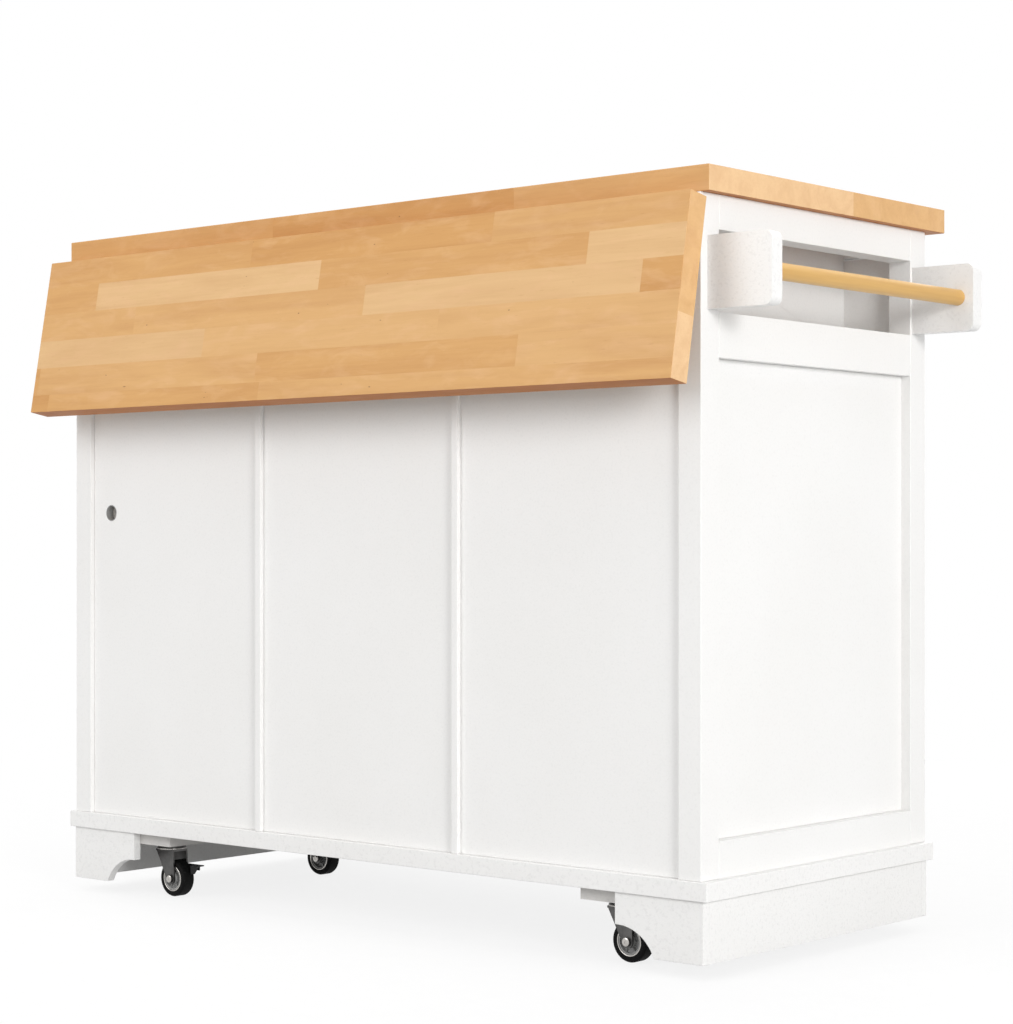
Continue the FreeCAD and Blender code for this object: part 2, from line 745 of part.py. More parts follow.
def make_brace(side, middle_x, hardware):
    """A folding brace that hangs behind the leaf, its tip cut to lie flat under the raised leaf."""
    half = "brace_thick / 2"
    points = (
        (f"-{half}", "brace_head"),
        (f"-{half}", f"-(brace_tip - {half})"),
        (half, f"-(brace_tip + {half})"),
        (half, "brace_head"),
    )
    bar = padded(f"brace_{side}_bar", "YZ_Plane", points, "brace_wide")
    place(bar, f"{middle_x} - brace_wide / 2", "-brace_pivot_out", "brace_z")
    pivot_y = "-brace_pivot_out"
    bar_run = (f"{middle_x} - brace_wide / 2", pivot_y, "brace_z", "brace_wide")
    bar_bore = cylinder(f"brace_{side}_bore", "X", "brace_pin + pin_clear", *bar_run)
    keep(cut(f"brace_{side}", bar, bar_bore))
    inside = "(brace_wide / 2 + cheek_gap)"
    outside = f"({inside} + cheek_thick)"
    cheek_y = ("-brace_pivot_out - cheek_nose", "hinge_face_y")
    cheek_z = around("brace_z", "cheek_half")
    low_x = (f"{middle_x} - {outside}", f"{middle_x} - {inside}")
    high_x = (f"{middle_x} + {inside}", f"{middle_x} + {outside}")
    solids = [
        box(f"bracket_{side}_plate", around(middle_x, outside), ("hinge_face_y", "panel_recess"), cheek_z),
        box(f"bracket_{side}_cheek_low", low_x, cheek_y, cheek_z),
        box(f"bracket_{side}_cheek_high", high_x, cheek_y, cheek_z),
    ]
    run = (f"{middle_x} - {outside}", pivot_y, "brace_z", f"2 * {outside}")
    bore = cylinder(f"bracket_{side}_bore", "X", "brace_pin + pin_clear", *run)
    hardware.append(cut(f"bracket_{side}", fuse(f"bracket_{side}_blank", *solids), bore))
    hardware.append(cylinder(f"brace_pin_{side}", "X", "brace_pin", *run))


def make_braces():
    hardware = []
    make_brace("left", "-brace_spread", hardware)
    make_brace("right", "brace_spread", hardware)
    group("brace_brackets", hardware)


def towel_bracket(name, low_y, seat_y):
    """An end plate of the towel rack, rounded at its outer corners, with a blind seat for the rod."""
    body = doc.addObject("PartDesign::Body", name)
    corners = (("0", "0"), ("bracket_reach", "0"), ("bracket_reach", "bracket_tall"), ("0", "bracket_tall"))
    pad = body.newObject("PartDesign::Pad", name + "_plate")
    pad.Profile = outline(body, name + "_outline", "XZ_Plane", corners)
    bind(pad, "Length", "bracket_thick")
    pad.Reversed = True
    doc.recompute()
    reach = value("bracket_reach")
    thick = value("bracket_thick")
    outer = []
    for number, edge in enumerate(pad.Shape.Edges, start=1):
        across = edge.BoundBox
        if across.XMin > reach / 2 and across.YLength > thick / 2:
            outer.append(f"Edge{number}")
    rounding = body.newObject("PartDesign::Fillet", name + "_rounding")
    rounding.Base = (pad, outer)
    bind(rounding, "Radius", "bracket_round")
    body.Tip = rounding
    place(body, "carcass_x", low_y, "rack_z")
    body.Label = name + "_plate"
    seat = cylinder(name + "_seat", "Y", "rod_radius + pin_clear", "rod_x", seat_y, "rod_z", "rod_seat")
    drilled = cut(name + "_drilled", body, seat)
    drilled.Label = name
    keep(drilled)


def make_towel_rack():
    back_low = "bracket_inset"
    back_seat = "bracket_inset + bracket_thick - rod_seat"
    front_low = "rack_front_y - bracket_thick"
    towel_bracket("towel_bracket_back", back_low, back_seat)
    towel_bracket("towel_bracket_front", front_low, front_low)
    length = f"{front_low} + rod_seat - ({back_seat})"
    keep(cylinder("towel_rod", "Y", "rod_radius", "rod_x", back_seat, "rod_z", length))


def caster_mount(name, x, y):
    """The fixed half of a caster: plate, bearing cup and the kingpin that carries the fork."""
    plate_x = around(x, "plate_long / 2")
    plate_y = around(y, "plate_wide / 2")
    solids = [
        box(f"caster_plate_{name}", plate_x, plate_y, ("plate_z", "caster_height")),
        cylinder(f"caster_cup_{name}", "Z", "cup_radius", x, y, "cup_z", "cup_tall"),
        cylinder(f"kingpin_{name}", "Z", "kingpin", x, y, "kingpin_z", "cup_z - kingpin_z"),
        cylinder(f"kingpin_head_{name}", "Z", "kingpin_head", x, y, "kingpin_z", "kingpin_head_tall"),
    ]
    return fuse(f"caster_mount_{name}", *solids)


def wedge(name, x, y, height, low_section, high_section):
    """A block that tapers upwards: each section is its span along X and along -Y from a place."""
    solid = doc.addObject("Part::Wedge", name)
    spans = {"X": low_section[0], "Z": low_section[1], "Y": height, "X2": high_section[0], "Z2": high_section[1]}
    for axis, (low, high) in spans.items():
        bind(solid, axis + "min", low)
        bind(solid, axis + "max", high)
    solid.Placement = FreeCAD.Placement(FreeCAD.Vector(), FreeCAD.Rotation(FreeCAD.Vector(1, 0, 0), 90))
    place(solid, x, y, "0")
    return solid


def fork_leg(name, x, outer_y):
    """A tapered fork leg: wide at the crown, narrow at the axle that trails behind the kingpin."""
    depth = ("0", "leg_thick")
    foot = (around("caster_trail", "leg_foot"), depth)
    head = (around("0", "crown_half"), depth)
    return wedge(name, x, outer_y, ("wheel_radius", "crown_top_z"), foot, head)


def caster_fork(name, x, y, braked):
    """The swivelling fork with its wheel axle, and the pedal's pivot stub on a braked caster."""
    axle_x = f"{x} + caster_trail"
    crown_z = ("crown_z", "crown_top_z")
    solids = [
        box(f"crown_{name}", around(x, "crown_half"), around(y, "leg_out"), crown_z),
        cylinder(f"race_{name}", "Z", "race_radius", x, y, "crown_top_z", "race_tall"),
        fork_leg(f"leg_low_{name}", x, f"{y} - leg_in"),
        fork_leg(f"leg_high_{name}", x, f"{y} + leg_out"),
    ]
    for end, start_y in (("low", f"{y} - leg_out"), ("high", f"{y} + leg_in")):
        foot_place = (axle_x, start_y, "wheel_radius")
        solids.append(cylinder(f"leg_foot_{end}_{name}", "Y", "leg_foot", *foot_place, "leg_thick"))
    if braked:
        stub_place = (f"{x} + pedal_pivot_out", f"{y} + leg_in", "pedal_z")
        stub_long = "pedal_arm_out + side_clear - leg_in"
        solids.append(cylinder(f"stub_{name}", "Y", "pedal_pin", *stub_place, stub_long))
    blank = fuse(f"fork_blank_{name}", *solids)
    king_run = (x, y, "crown_z", "race_top_z - crown_z")
    king_bore = cylinder(f"king_bore_{name}", "Z", "kingpin + pin_clear", *king_run)
    axle_run = (axle_x, f"{y} - leg_out", "wheel_radius", "2 * leg_out")
    axle_bore = cylinder(f"axle_bore_{name}", "Y", "axle + pin_clear", *axle_run)
    fork = cut(f"fork_{name}", blank, fuse(f"fork_bores_{name}", king_bore, axle_bore))
    bars = [cylinder(f"axle_bar_{name}", "Y", "axle", *axle_run)]
    for end, start_y in (("low", f"{y} - leg_out - axle_head_tall"), ("high", f"{y} + leg_out")):
        head_place = (axle_x, start_y, "wheel_radius")
        bars.append(cylinder(f"axle_head_{end}_{name}", "Y", "axle_head", *head_place, "axle_head_tall"))
    group(f"caster_fork_{name}", [fork, fuse(f"axle_{name}", *bars)])


def caster_wheel(name, x, y):
    """A wheel: a ribbed plastic hub that runs on the axle, and a tyre seated on its rim."""
    hub_half = "hub_wide / 2"
    web_half = "hub_web / 2"
    wheel_half = "wheel_wide / 2"
    bore = "axle + pin_clear"
    rim_in = "hub_radius - hub_rim_thick"
    half_profile = (
        (bore, wheel_half),
        ("hub_boss", wheel_half),
        ("hub_boss", web_half),
        (rim_in, web_half),
        (rim_in, hub_half),
        ("hub_radius", hub_half),
    )
    other_half = tuple((radius, f"-({along})") for radius, along in reversed(half_profile))
    axle_x = f"{x} + caster_trail"
    keep(revolved(f"wheel_hub_{name}", half_profile + other_half, "Y", axle_x, y, "wheel_radius"))
    tyre_in = "hub_radius + pin_clear"
    tread = f"{wheel_half} - tyre_shoulder"
    shoulder = "wheel_radius - tyre_shoulder"
    bend_share = 0.3
    tyre_half = (
        (tyre_in, wheel_half),
        (shoulder, wheel_half),
        (f"wheel_radius - {bend_share} * tyre_shoulder", f"{wheel_half} - {bend_share} * tyre_shoulder"),
        ("wheel_radius", tread),
    )
    other_tyre_half = tuple((radius, f"-({along})") for radius, along in reversed(tyre_half))
    keep(revolved(f"tyre_{name}", tyre_half + other_tyre_half, "Y", axle_x, y, "wheel_radius"))


def brake_pedal(name, x, y):
    """A pedal whose arm pivots outside one fork leg and whose tapered shoe faces the tread."""
    arm_x = (f"{x} + pedal_pivot_out - pedal_arm_half", f"{x} + pedal_shoe_out + pedal_shoe_thick")
    arm_z = around("pedal_z", "pedal_arm_half")
    shoe_x = ("pedal_shoe_out", "pedal_shoe_out + pedal_shoe_thick")
    shoe_z = ("pedal_z - pedal_shoe_drop", "pedal_z + pedal_arm_half")
    shoe_foot = (shoe_x, ("pedal_arm_out - pedal_shoe_foot", "pedal_arm_out"))
    shoe_head = (shoe_x, ("0", "pedal_arm_out"))
    lip_x = (f"{x} + pedal_shoe_out", f"{x} + pedal_lip_reach")
    lip_z = ("pedal_z + pedal_arm_half - pedal_lip_thick", "pedal_z + pedal_arm_half")
    wide = (y, f"{y} + pedal_arm_out")
    solids = [
        box(f"pedal_arm_{name}", arm_x, (f"{y} + pedal_arm_in", f"{y} + pedal_arm_out"), arm_z),
        wedge(f"pedal_shoe_{name}", x, f"{y} + pedal_arm_out", shoe_z, shoe_foot, shoe_head),
        box(f"pedal_lip_{name}", lip_x, wide, lip_z),
    ]
    run = (f"{x} + pedal_pivot_out", f"{y} + pedal_arm_in", "pedal_z", "pedal_arm_thick")
    bore = cylinder(f"pedal_bore_{name}", "Y", "pedal_pin + pin_clear", *run)
    keep(cut(f"brake_pedal_{name}", fuse(f"pedal_blank_{name}", *solids), bore))


def make_casters():
    blocks = []
    mounts = []
    block_z = ("caster_height", "base_z")
    for name, (x, y) in CASTERS.items():
        blocks.append(box(f"block_{name}", around(x, "block_wide / 2"), around(y, "block_deep / 2"), block_z))
        mounts.append(caster_mount(name, x, y))
    group("caster_blocks", blocks)
    group("caster_plates", mounts)
    for name, (x, y) in CASTERS.items():
        braked = name.startswith("back")
        caster_fork(name, x, y, braked)
        caster_wheel(name, x, y)
        if braked:
            brake_pedal(name, x, y)


def check_document():
    """Stop before anything is written if an object failed or a sub-part is not a sound shape."""
    for item in doc.Objects:
        if "Invalid" in item.State or "Error" in item.State:
            raise RuntimeError(f"{item.Label} failed: {item.State}")
    for node in nodes:
        if node.Shape.isNull() or not node.Shape.isValid():
            raise RuntimeError(f"{node.Label} has no sound shape")


make_worktop()
make_posts()
make_base()
make_feet()
make_back()
make_ends()
make_niche()
make_partitions()
make_front_frame()
make_shelves()
make_drawers()
make_doors()
make_leaf()
make_braces()
make_towel_rack()
make_casters()
doc.recompute()
check_document()

os.makedirs("parts", exist_ok=True)
for node in nodes:
    node.Shape.exportStep(os.path.join("parts", node.Label + ".step"))
print(len(nodes), "sub-parts written")
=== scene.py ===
import json
import math

import bmesh
import bpy
from mathutils import Matrix, Vector


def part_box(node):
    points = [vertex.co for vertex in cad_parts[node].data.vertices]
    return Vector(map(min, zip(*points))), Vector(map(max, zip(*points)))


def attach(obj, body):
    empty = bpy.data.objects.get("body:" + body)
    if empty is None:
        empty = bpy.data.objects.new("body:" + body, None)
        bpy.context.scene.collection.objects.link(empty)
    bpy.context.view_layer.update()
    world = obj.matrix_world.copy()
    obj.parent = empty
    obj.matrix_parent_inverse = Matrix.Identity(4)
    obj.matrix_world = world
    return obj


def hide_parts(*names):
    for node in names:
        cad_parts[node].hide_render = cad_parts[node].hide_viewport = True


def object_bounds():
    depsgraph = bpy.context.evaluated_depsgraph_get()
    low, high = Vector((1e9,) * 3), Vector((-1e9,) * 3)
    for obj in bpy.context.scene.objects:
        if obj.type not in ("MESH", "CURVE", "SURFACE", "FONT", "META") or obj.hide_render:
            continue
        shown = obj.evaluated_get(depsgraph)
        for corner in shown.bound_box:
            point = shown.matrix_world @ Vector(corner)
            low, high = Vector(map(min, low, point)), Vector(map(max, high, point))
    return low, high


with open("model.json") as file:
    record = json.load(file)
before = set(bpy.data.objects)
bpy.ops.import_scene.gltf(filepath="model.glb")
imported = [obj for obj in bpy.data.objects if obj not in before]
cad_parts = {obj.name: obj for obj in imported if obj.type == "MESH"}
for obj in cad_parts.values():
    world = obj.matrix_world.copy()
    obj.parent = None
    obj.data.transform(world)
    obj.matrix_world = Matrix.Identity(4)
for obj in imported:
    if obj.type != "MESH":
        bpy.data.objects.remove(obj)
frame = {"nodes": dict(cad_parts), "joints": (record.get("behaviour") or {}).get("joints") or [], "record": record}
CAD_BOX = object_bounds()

# A rolling kitchen cart: painted carcass, stave worktop with a drop leaf, towel rack and casters.
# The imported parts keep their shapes. This script gives them their finish and adds the small hardware.

MM = 0.001
NODES = frame["nodes"]
RECORD = frame["record"]
JOINTS = {joint["name"]: joint for joint in frame["joints"]}
CASTER_NAMES = ("back_left", "back_right", "front_left", "front_right")

# Camera, found from the edges of the worktop and the carcass in the photograph.
IMAGE_WIDTH = 1013
IMAGE_HEIGHT = 1024
FOCAL_PIXELS = 2413.16
AXIS_PIXEL = (510.19, 538.26)
SENSOR_MM = 36.0
CAMERA_PLACE = Vector((2.11505, -2.40994, 0.4972))
CAMERA_YAW = math.radians(40.76)

# Light: place, width in metres and power in watts of each lamp, all aimed at the middle of the cart.
LAMP_TARGET = (0.0, 0.0, 0.5)
LAMPS = {
    "key": ((6.6, -3.0, 2.3), 2.0, 196.0),
    "leaf_side_fill": ((-1.1, -3.5, 2.05), 2.5, 52.0),
    "end_fill": ((3.6, -0.7, 0.75), 2.0, 28.0),
    "top": ((0.3, -0.5, 3.6), 2.2, 30.0),
    "door_side_fill": ((-0.9, 3.7, 1.7), 3.0, 52.0),
    "far_end_fill": ((-3.6, 0.4, 1.5), 2.4, 32.0),
}
WORLD_LIGHT = 0.50

# Floor: half its width and its gap under the wheels, in metres. Then its tone for the light that it sends
# back, its tone as seen, how much both drift, and the glow that turns it white away from the cart.
FLOOR_REACH = 30.0
FLOOR_GAP = 0.2 * MM
FLOOR_BOUNCE = 0.50
FLOOR_SHOWN = 0.86
FLOOR_DRIFT = 0.02
FLOOR_GLOW_NEAR = 0.84
FLOOR_FADE_FROM = 0.8
FLOOR_FADE_TO = 2.4

# Colours, in linear values.
WHITE = (1.0, 1.0, 1.0)
PAINT_TONES = ((0.840, 0.833, 0.818), (0.865, 0.860, 0.850))
# Darker paint for the caster blocks: painted shade for the shadow under the base board's overhang.
CASTER_BLOCK_SHADE_TONES = ((0.590, 0.575, 0.555), (0.630, 0.615, 0.595))
FACE_TONES = (
    (0.716, 0.462, 0.228),
    (0.690, 0.420, 0.185),
    (0.665, 0.385, 0.158),
    (0.650, 0.365, 0.142),
    (0.675, 0.395, 0.165),
    (0.625, 0.338, 0.124),
    (0.685, 0.410, 0.178),
)
END_TONES = (
    (0.820, 0.555, 0.310),
    (0.735, 0.455, 0.212),
)
# Painted shade: a darker, warmer multiply on the wood's faces that point down, for the dim light under the
# worktop's overhang and along the leaf's lower edge.
UNDERSIDE_PAINTED_SHADE = (0.72, 0.48, 0.34)
GRAIN_DARK = (0.50, 0.25, 0.085)
MOTTLE_PALE = (0.775, 0.490, 0.270)
KNOT_DARK = (0.25, 0.12, 0.05)
ROD_TONES = ((0.70, 0.43, 0.14), (0.56, 0.31, 0.08))
PLY_TONES = ((0.74, 0.57, 0.36), (0.65, 0.48, 0.28))

# Metals: bright tone, dark tone and roughness.
METALS = {
    "zinc_steel": ((0.130, 0.127, 0.125), (0.082, 0.081, 0.080), 0.34),
    "nickel": ((0.54, 0.52, 0.49), (0.45, 0.43, 0.41), 0.24),
}

# Plastics and rubber: colour, colour of the dust, roughness and gloss.
MOULDED = {
    "tyre": ((0.004, 0.004, 0.004), (0.010, 0.010, 0.010), 0.72, 0.10),
    "hub_plastic": ((0.30, 0.30, 0.295), (0.38, 0.375, 0.365), 0.34, 0.6),
    "rubber": ((0.02, 0.02, 0.02), (0.05, 0.05, 0.05), 0.6, 0.3),
    "pedal_plastic": ((0.010, 0.010, 0.011), (0.03, 0.03, 0.03), 0.42, 0.3),
}

# Staves of the worktop: sizes, how much their lengths vary, and how far their rows are shifted, in rows.
STAVE_WIDTH = 38.5 * MM
STAVE_LENGTH = 428 * MM
STAVE_SPREAD = 0.03
ROW_SHIFT = 0.6815

# Seeds of the staves' joints and tones, and how far the draws move the joints (in staves) and the grain
# (in metres).
JOINT_SEED = 934485.0
JOINT_DRAW = 1.3
JOINT_REACH = 9.0
TONE_SEED = 308460.0
GRAIN_REACH = 9.0

# The ends of the worktop and the leaf show staves of their own: length, place of one joint, and seeds.
END_STAVE_LENGTH = 436 * MM
END_JOINT = 77 * MM
SLAB_END_SEED = 6.0
LEAF_END_SEED = 3.0

# A face looks along an axis where its normal has more than this share of it.
SQUARE_ON = 0.7

# How far the sharp edges of each finish are eased.
EDGE_WIDTHS = {
    "white_paint": 1.0 * MM,
    "worktop_wood": 1.0 * MM,
    "rod_wood": 0.6 * MM,
    "drawer_wood": 0.6 * MM,
    "zinc_steel": 0.4 * MM,
    "nickel": 0.35 * MM,
    "tyre": 0.8 * MM,
    "hub_plastic": 0.5 * MM,
    "rubber": 0.8 * MM,
    "pedal_plastic": 0.6 * MM,
}

# Hardware: the angle from which an edge of an added piece stays sharp, and the heads of the screws.
SHARP_ANGLE = math.radians(35)
LARGE_SCREW = 3.2 * MM
SMALL_SCREW = 2.6 * MM


def rgba(colour):
    return (*colour, 1.0)


def grey(level):
    return (level, level, level)


class Graph:
    """A material's shader nodes, with short calls to add and wire them."""

    def __init__(self, name):
        self.material = bpy.data.materials.new(name)
        self.material.use_nodes = True
        self.tree = self.material.node_tree
        self.bsdf = self.tree.nodes["Principled BSDF"]
        self.output = self.tree.nodes["Material Output"]

    def add(self, kind, inputs=None, **settings):
        made = self.tree.nodes.new(kind)
        for key, setting in settings.items():
            setattr(made, key, setting)
        for key, source in (inputs or {}).items():
            self.feed(made.inputs[key], source)
        return made

    def feed(self, socket, source):
        if isinstance(source, bpy.types.NodeSocket):
            self.tree.links.new(source, socket)
        else:
            socket.default_value = source

    def set(self, **inputs):
        for key, source in inputs.items():
            self.feed(self.bsdf.inputs[key.replace("_", " ")], source)

    def math(self, operation, first, second=0.0, third=0.0):
        inputs = {0: first, 1: second, 2: third}
        return self.add("ShaderNodeMath", inputs, operation=operation).outputs[0]

    def place(self):
        return self.add("ShaderNodeTexCoord").outputs["Object"]

    def normal(self, axis):
        """How far a face looks along an axis (0, 1 or 2), from -1 to 1."""
        return self.split(self.add("ShaderNodeTexCoord").outputs["Normal"])[axis]

    def split(self, vector):
        return self.add("ShaderNodeSeparateXYZ", {0: vector}).outputs

    def join(self, x, y, z):
        return self.add("ShaderNodeCombineXYZ", {0: x, 1: y, 2: z}).outputs[0]

    def scaled(self, vector, scale):
        return self.add("ShaderNodeMapping", {"Vector": vector, "Scale": scale}).outputs[0]

    def moved(self, vector, offset):
        return self.add("ShaderNodeVectorMath", {0: vector, 1: offset}, operation="ADD").outputs[0]

    def noise(self, vector, scale, detail=3.0, rough=0.5, distortion=0.0):
        inputs = {"Vector": vector, "Scale": scale, "Detail": detail}
        inputs.update({"Roughness": rough, "Distortion": distortion})
        return self.add("ShaderNodeTexNoise", inputs).outputs["Fac"]

    def stretched_noise(self, vector, stretch, **settings):
        """Noise with a scale of its own along each axis."""
        return self.noise(self.scaled(vector, stretch), 1.0, **settings)

    def random(self, vector):
        return self.add("ShaderNodeTexWhiteNoise", {"Vector": vector}, noise_dimensions="3D")

    def ramp(self, factor, stops, interpolation="LINEAR"):
        ramp = self.add("ShaderNodeValToRGB", {"Fac": factor})
        ramp.color_ramp.interpolation = interpolation
        elements = ramp.color_ramp.elements
        while len(elements) < len(stops):
            elements.new(0.5)
        for element, (position, colour) in zip(elements, stops):
            element.position = position
            element.color = rgba(colour)
        return ramp.outputs["Color"]

    def span(self, factor, low, high, to_low=0.0, to_high=1.0):
        inputs = {"Value": factor, "From Min": low, "From Max": high}
        inputs.update({"To Min": to_low, "To Max": to_high})
        return self.add("ShaderNodeMapRange", inputs).outputs["Result"]

    def blend(self, mode, factor, first, second):
        inputs = {"Factor": factor, "A": first, "B": second}
        return self.add("ShaderNodeMix", inputs, data_type="RGBA", blend_type=mode).outputs["Result"]

    def choose(self, factor, first, second):
        inputs = {"Factor": factor, "A": first, "B": second}
        return self.add("ShaderNodeMix", inputs, data_type="VECTOR").outputs["Result"]

    def bump(self, height, strength, distance):
        inputs = {"Height": height, "Strength": strength, "Distance": distance}
        self.set(Normal=self.add("ShaderNodeBump", inputs).outputs[0])


def paint_material(name, tones, speckle, fineness, peel_depth):
    """Satin paint: a faint drift of tone, fine specks and the pebbled skin that a spray gun leaves."""
    graph = Graph(name)
    place = graph.place()
    drift = graph.noise(place, scale=4.0, detail=4.0)
    base = graph.ramp(drift, ((0.3, tones[0]), (0.7, tones[1])))
    specks = graph.noise(place, scale=fineness, detail=3.0, rough=0.6)
    shade = graph.ramp(specks, ((0.30, grey(1.0 - speckle)), (0.48, WHITE)))
    peel = graph.noise(place, scale=520.0, detail=2.0)
    graph.set(
        Base_Color=graph.blend("MULTIPLY", 1.0, base, shade),
        Roughness=graph.span(specks, 0.3, 0.7, to_low=0.46, to_high=0.36),
        Specular_IOR_Level=0.4,
    )
    graph.bump(peel, strength=0.25, distance=peel_depth)
    return graph.material


def on_ends(graph):
    """1 on the faces at the two ends of a board, and 0 on the others."""
    return graph.math("GREATER_THAN", graph.math("ABSOLUTE", graph.normal(0)), SQUARE_ON)


def painted_shade_below_mask(graph):
    """1 on the faces that point down while the leaf hangs, where painted shade goes, and 0 on the others."""
    return graph.math("LESS_THAN", graph.normal(2), -SQUARE_ON)


def stave_number(graph, place, ends, end_seed):
    """Which stave a point lies in: rows across Y cut into lengths along X, with others on the ends."""
    x, y, _ = graph.split(place)
    row = graph.math("FLOOR", graph.math("MULTIPLY_ADD", y, 1.0 / STAVE_WIDTH, ROW_SHIFT))
    draws = graph.split(graph.random(graph.join(row, JOINT_SEED, JOINT_DRAW)).outputs["Color"])
    shortest, longest = ((1.0 + spread) * STAVE_LENGTH for spread in (-STAVE_SPREAD, STAVE_SPREAD))
    length = graph.span(draws[0], 0.0, 1.0, to_low=shortest, to_high=longest)
    start = graph.math("MULTIPLY", draws[1], JOINT_REACH)
    column = graph.math("FLOOR", graph.math("ADD", graph.math("DIVIDE", x, length), start))
    past_joint = graph.math("SUBTRACT", y, END_JOINT)
    end_column = graph.math("FLOOR", graph.math("MULTIPLY", past_joint, 1.0 / END_STAVE_LENGTH))
    face_number = graph.join(row, column, TONE_SEED)
    end_number = graph.join(end_column, 0.0, end_seed)
    return graph.choose(ends, face_number, end_number)


def pick_tone(graph, value, tones):
    """One of the tones, each as likely as the others."""
    stops = tuple((index / len(tones), tone) for index, tone in enumerate(tones))
    return graph.ramp(value, stops, "CONSTANT")


def stave_wood(name, place_in, end_seed):
    """Glued staves with their own tone, bands, grain and flecks, and painted shade on the faces that point down.
    """
    graph = Graph(name)
    place = place_in(graph)
    ends = on_ends(graph)
    random = graph.random(stave_number(graph, place, ends, end_seed))
    face_tone = pick_tone(graph, random.outputs["Value"], FACE_TONES)
    end_tone = pick_tone(graph, random.outputs["Value"], END_TONES)
    local = graph.moved(place, graph.scaled(random.outputs["Color"], (GRAIN_REACH,) * 3))
    mottle = graph.stretched_noise(local, (16.0, 48.0, 48.0), detail=4.0, rough=0.6, distortion=0.7)
    bands = graph.stretched_noise(local, (2.4, 24.0, 24.0), detail=3.0, distortion=1.4)
    grain = graph.stretched_noise(local, (11.0, 230.0, 230.0), detail=5.0, rough=0.65, distortion=0.8)
    flecks = graph.stretched_noise(local, (70.0, 560.0, 560.0), detail=1.0)
    knots = graph.stretched_noise(local, (75.0, 170.0, 170.0), detail=1.0)
    on_faces = graph.math("SUBTRACT", 1.0, ends)
    knot_share = graph.math("MULTIPLY", on_faces, graph.span(knots, 0.795, 0.825, to_high=0.75))
    layers = (
        ("MIX", graph.span(mottle, 0.48, 0.72, to_high=0.38), MOTTLE_PALE),
        ("MULTIPLY", graph.span(bands, 0.40, 0.70, to_high=0.17), GRAIN_DARK),
        ("MULTIPLY", graph.span(grain, 0.42, 0.75, to_high=0.09), GRAIN_DARK),
        ("MIX", graph.span(flecks, 0.68, 0.82, to_high=0.28), GRAIN_DARK),
        ("MIX", knot_share, KNOT_DARK),
        # Painted shade: faces that point down are darkened and warmed here, standing in for shade from below.
        ("MULTIPLY", painted_shade_below_mask(graph), UNDERSIDE_PAINTED_SHADE),
    )
    colour = graph.blend("MIX", ends, face_tone, end_tone)
    for mode, share, tone in layers:
        colour = graph.blend(mode, share, colour, rgba(tone))
    rough = graph.span(grain, 0.3, 0.8, to_low=0.48, to_high=0.6)
    graph.set(Base_Color=colour, Roughness=rough, Specular_IOR_Level=0.18)
    graph.bump(grain, strength=0.10, distance=0.5 * MM)
    return graph.material


def raised_place(graph):
    """Where a point of the leaf lies when the leaf is up, level with the worktop."""
    joint = JOINTS["leaf_fold"]
    inputs = {
        "Vector": graph.place(),
        "Center": Vector(joint["pos_m"]),
        "Axis": Vector(joint["axis"]),
        "Angle": math.radians(joint["range_deg"][1]),
    }
    return graph.add("ShaderNodeVectorRotate", inputs, rotation_type="AXIS_ANGLE").outputs[0]


def plain_wood(name, tones, along):
    """One piece of wood with its grain along an axis (0, 1 or 2)."""
    graph = Graph(name)
    place = graph.place()
    stretch = [150.0, 150.0, 150.0]
    stretch[along] = 5.0
    wide_stretch = [0.3 * factor for factor in stretch]
    grain = graph.stretched_noise(place, stretch, detail=6.0, rough=0.6, distortion=0.5)
    bands = graph.stretched_noise(place, wide_stretch, detail=3.0, distortion=0.8)
    mixed = graph.math("MULTIPLY_ADD", bands, 0.6, graph.math("MULTIPLY", grain, 0.4))
    colour = graph.ramp(mixed, ((0.36, tones[1]), (0.62, tones[0])))
    graph.set(Base_Color=colour, Roughness=graph.span(grain, 0.3, 0.8, to_low=0.34, to_high=0.48))
    graph.bump(grain, strength=0.12, distance=0.5 * MM)
    return graph.material


def metal_material(name, bright, dark, rough):
    """Plated metal: cloudy tone, and fine scratches in the gloss."""
    graph = Graph(name)
    place = graph.place()
    cloud = graph.noise(place, scale=90.0, detail=4.0)
    scratches = graph.stretched_noise(place, (900.0, 900.0, 60.0), detail=4.0)
    graph.set(
        Base_Color=graph.ramp(cloud, ((0.3, dark), (0.72, bright))),
        Roughness=graph.span(scratches, 0.25, 0.8, to_low=rough - 0.07, to_high=rough + 0.1),
        Metallic=1.0,
    )
    graph.bump(scratches, strength=0.06, distance=0.2 * MM)
    return graph.material


def moulded_material(name, colour, dust, rough, gloss):
    """Moulded plastic or rubber: a pebbled skin and a little dust."""
    graph = Graph(name)
    place = graph.place()
    dusty = graph.noise(place, scale=80.0, detail=5.0)
    pebble = graph.noise(place, scale=1800.0, detail=2.0)
    graph.set(
        Base_Color=graph.ramp(dusty, ((0.45, colour), (0.85, dust))),
        Roughness=graph.span(dusty, 0.3, 0.8, to_low=rough - 0.06, to_high=rough + 0.1),
        Specular_IOR_Level=gloss,
    )
    graph.bump(pebble, strength=0.15, distance=0.2 * MM)
    return graph.material


def slot_materials():
    """The finish of each material slot."""
    made = {
        "white_paint": paint_material(
            "white_paint", PAINT_TONES, speckle=0.035, fineness=330.0, peel_depth=0.4 * MM
        ),
        "worktop_wood": stave_wood("worktop_wood", Graph.place, SLAB_END_SEED),
        "rod_wood": plain_wood("rod_wood", ROD_TONES, along=1),
        "drawer_wood": plain_wood("drawer_wood", PLY_TONES, along=1),
    }
    made.update({name: metal_material(name, *look) for name, look in METALS.items()})
    made.update({name: moulded_material(name, *look) for name, look in MOULDED.items()})
    return made


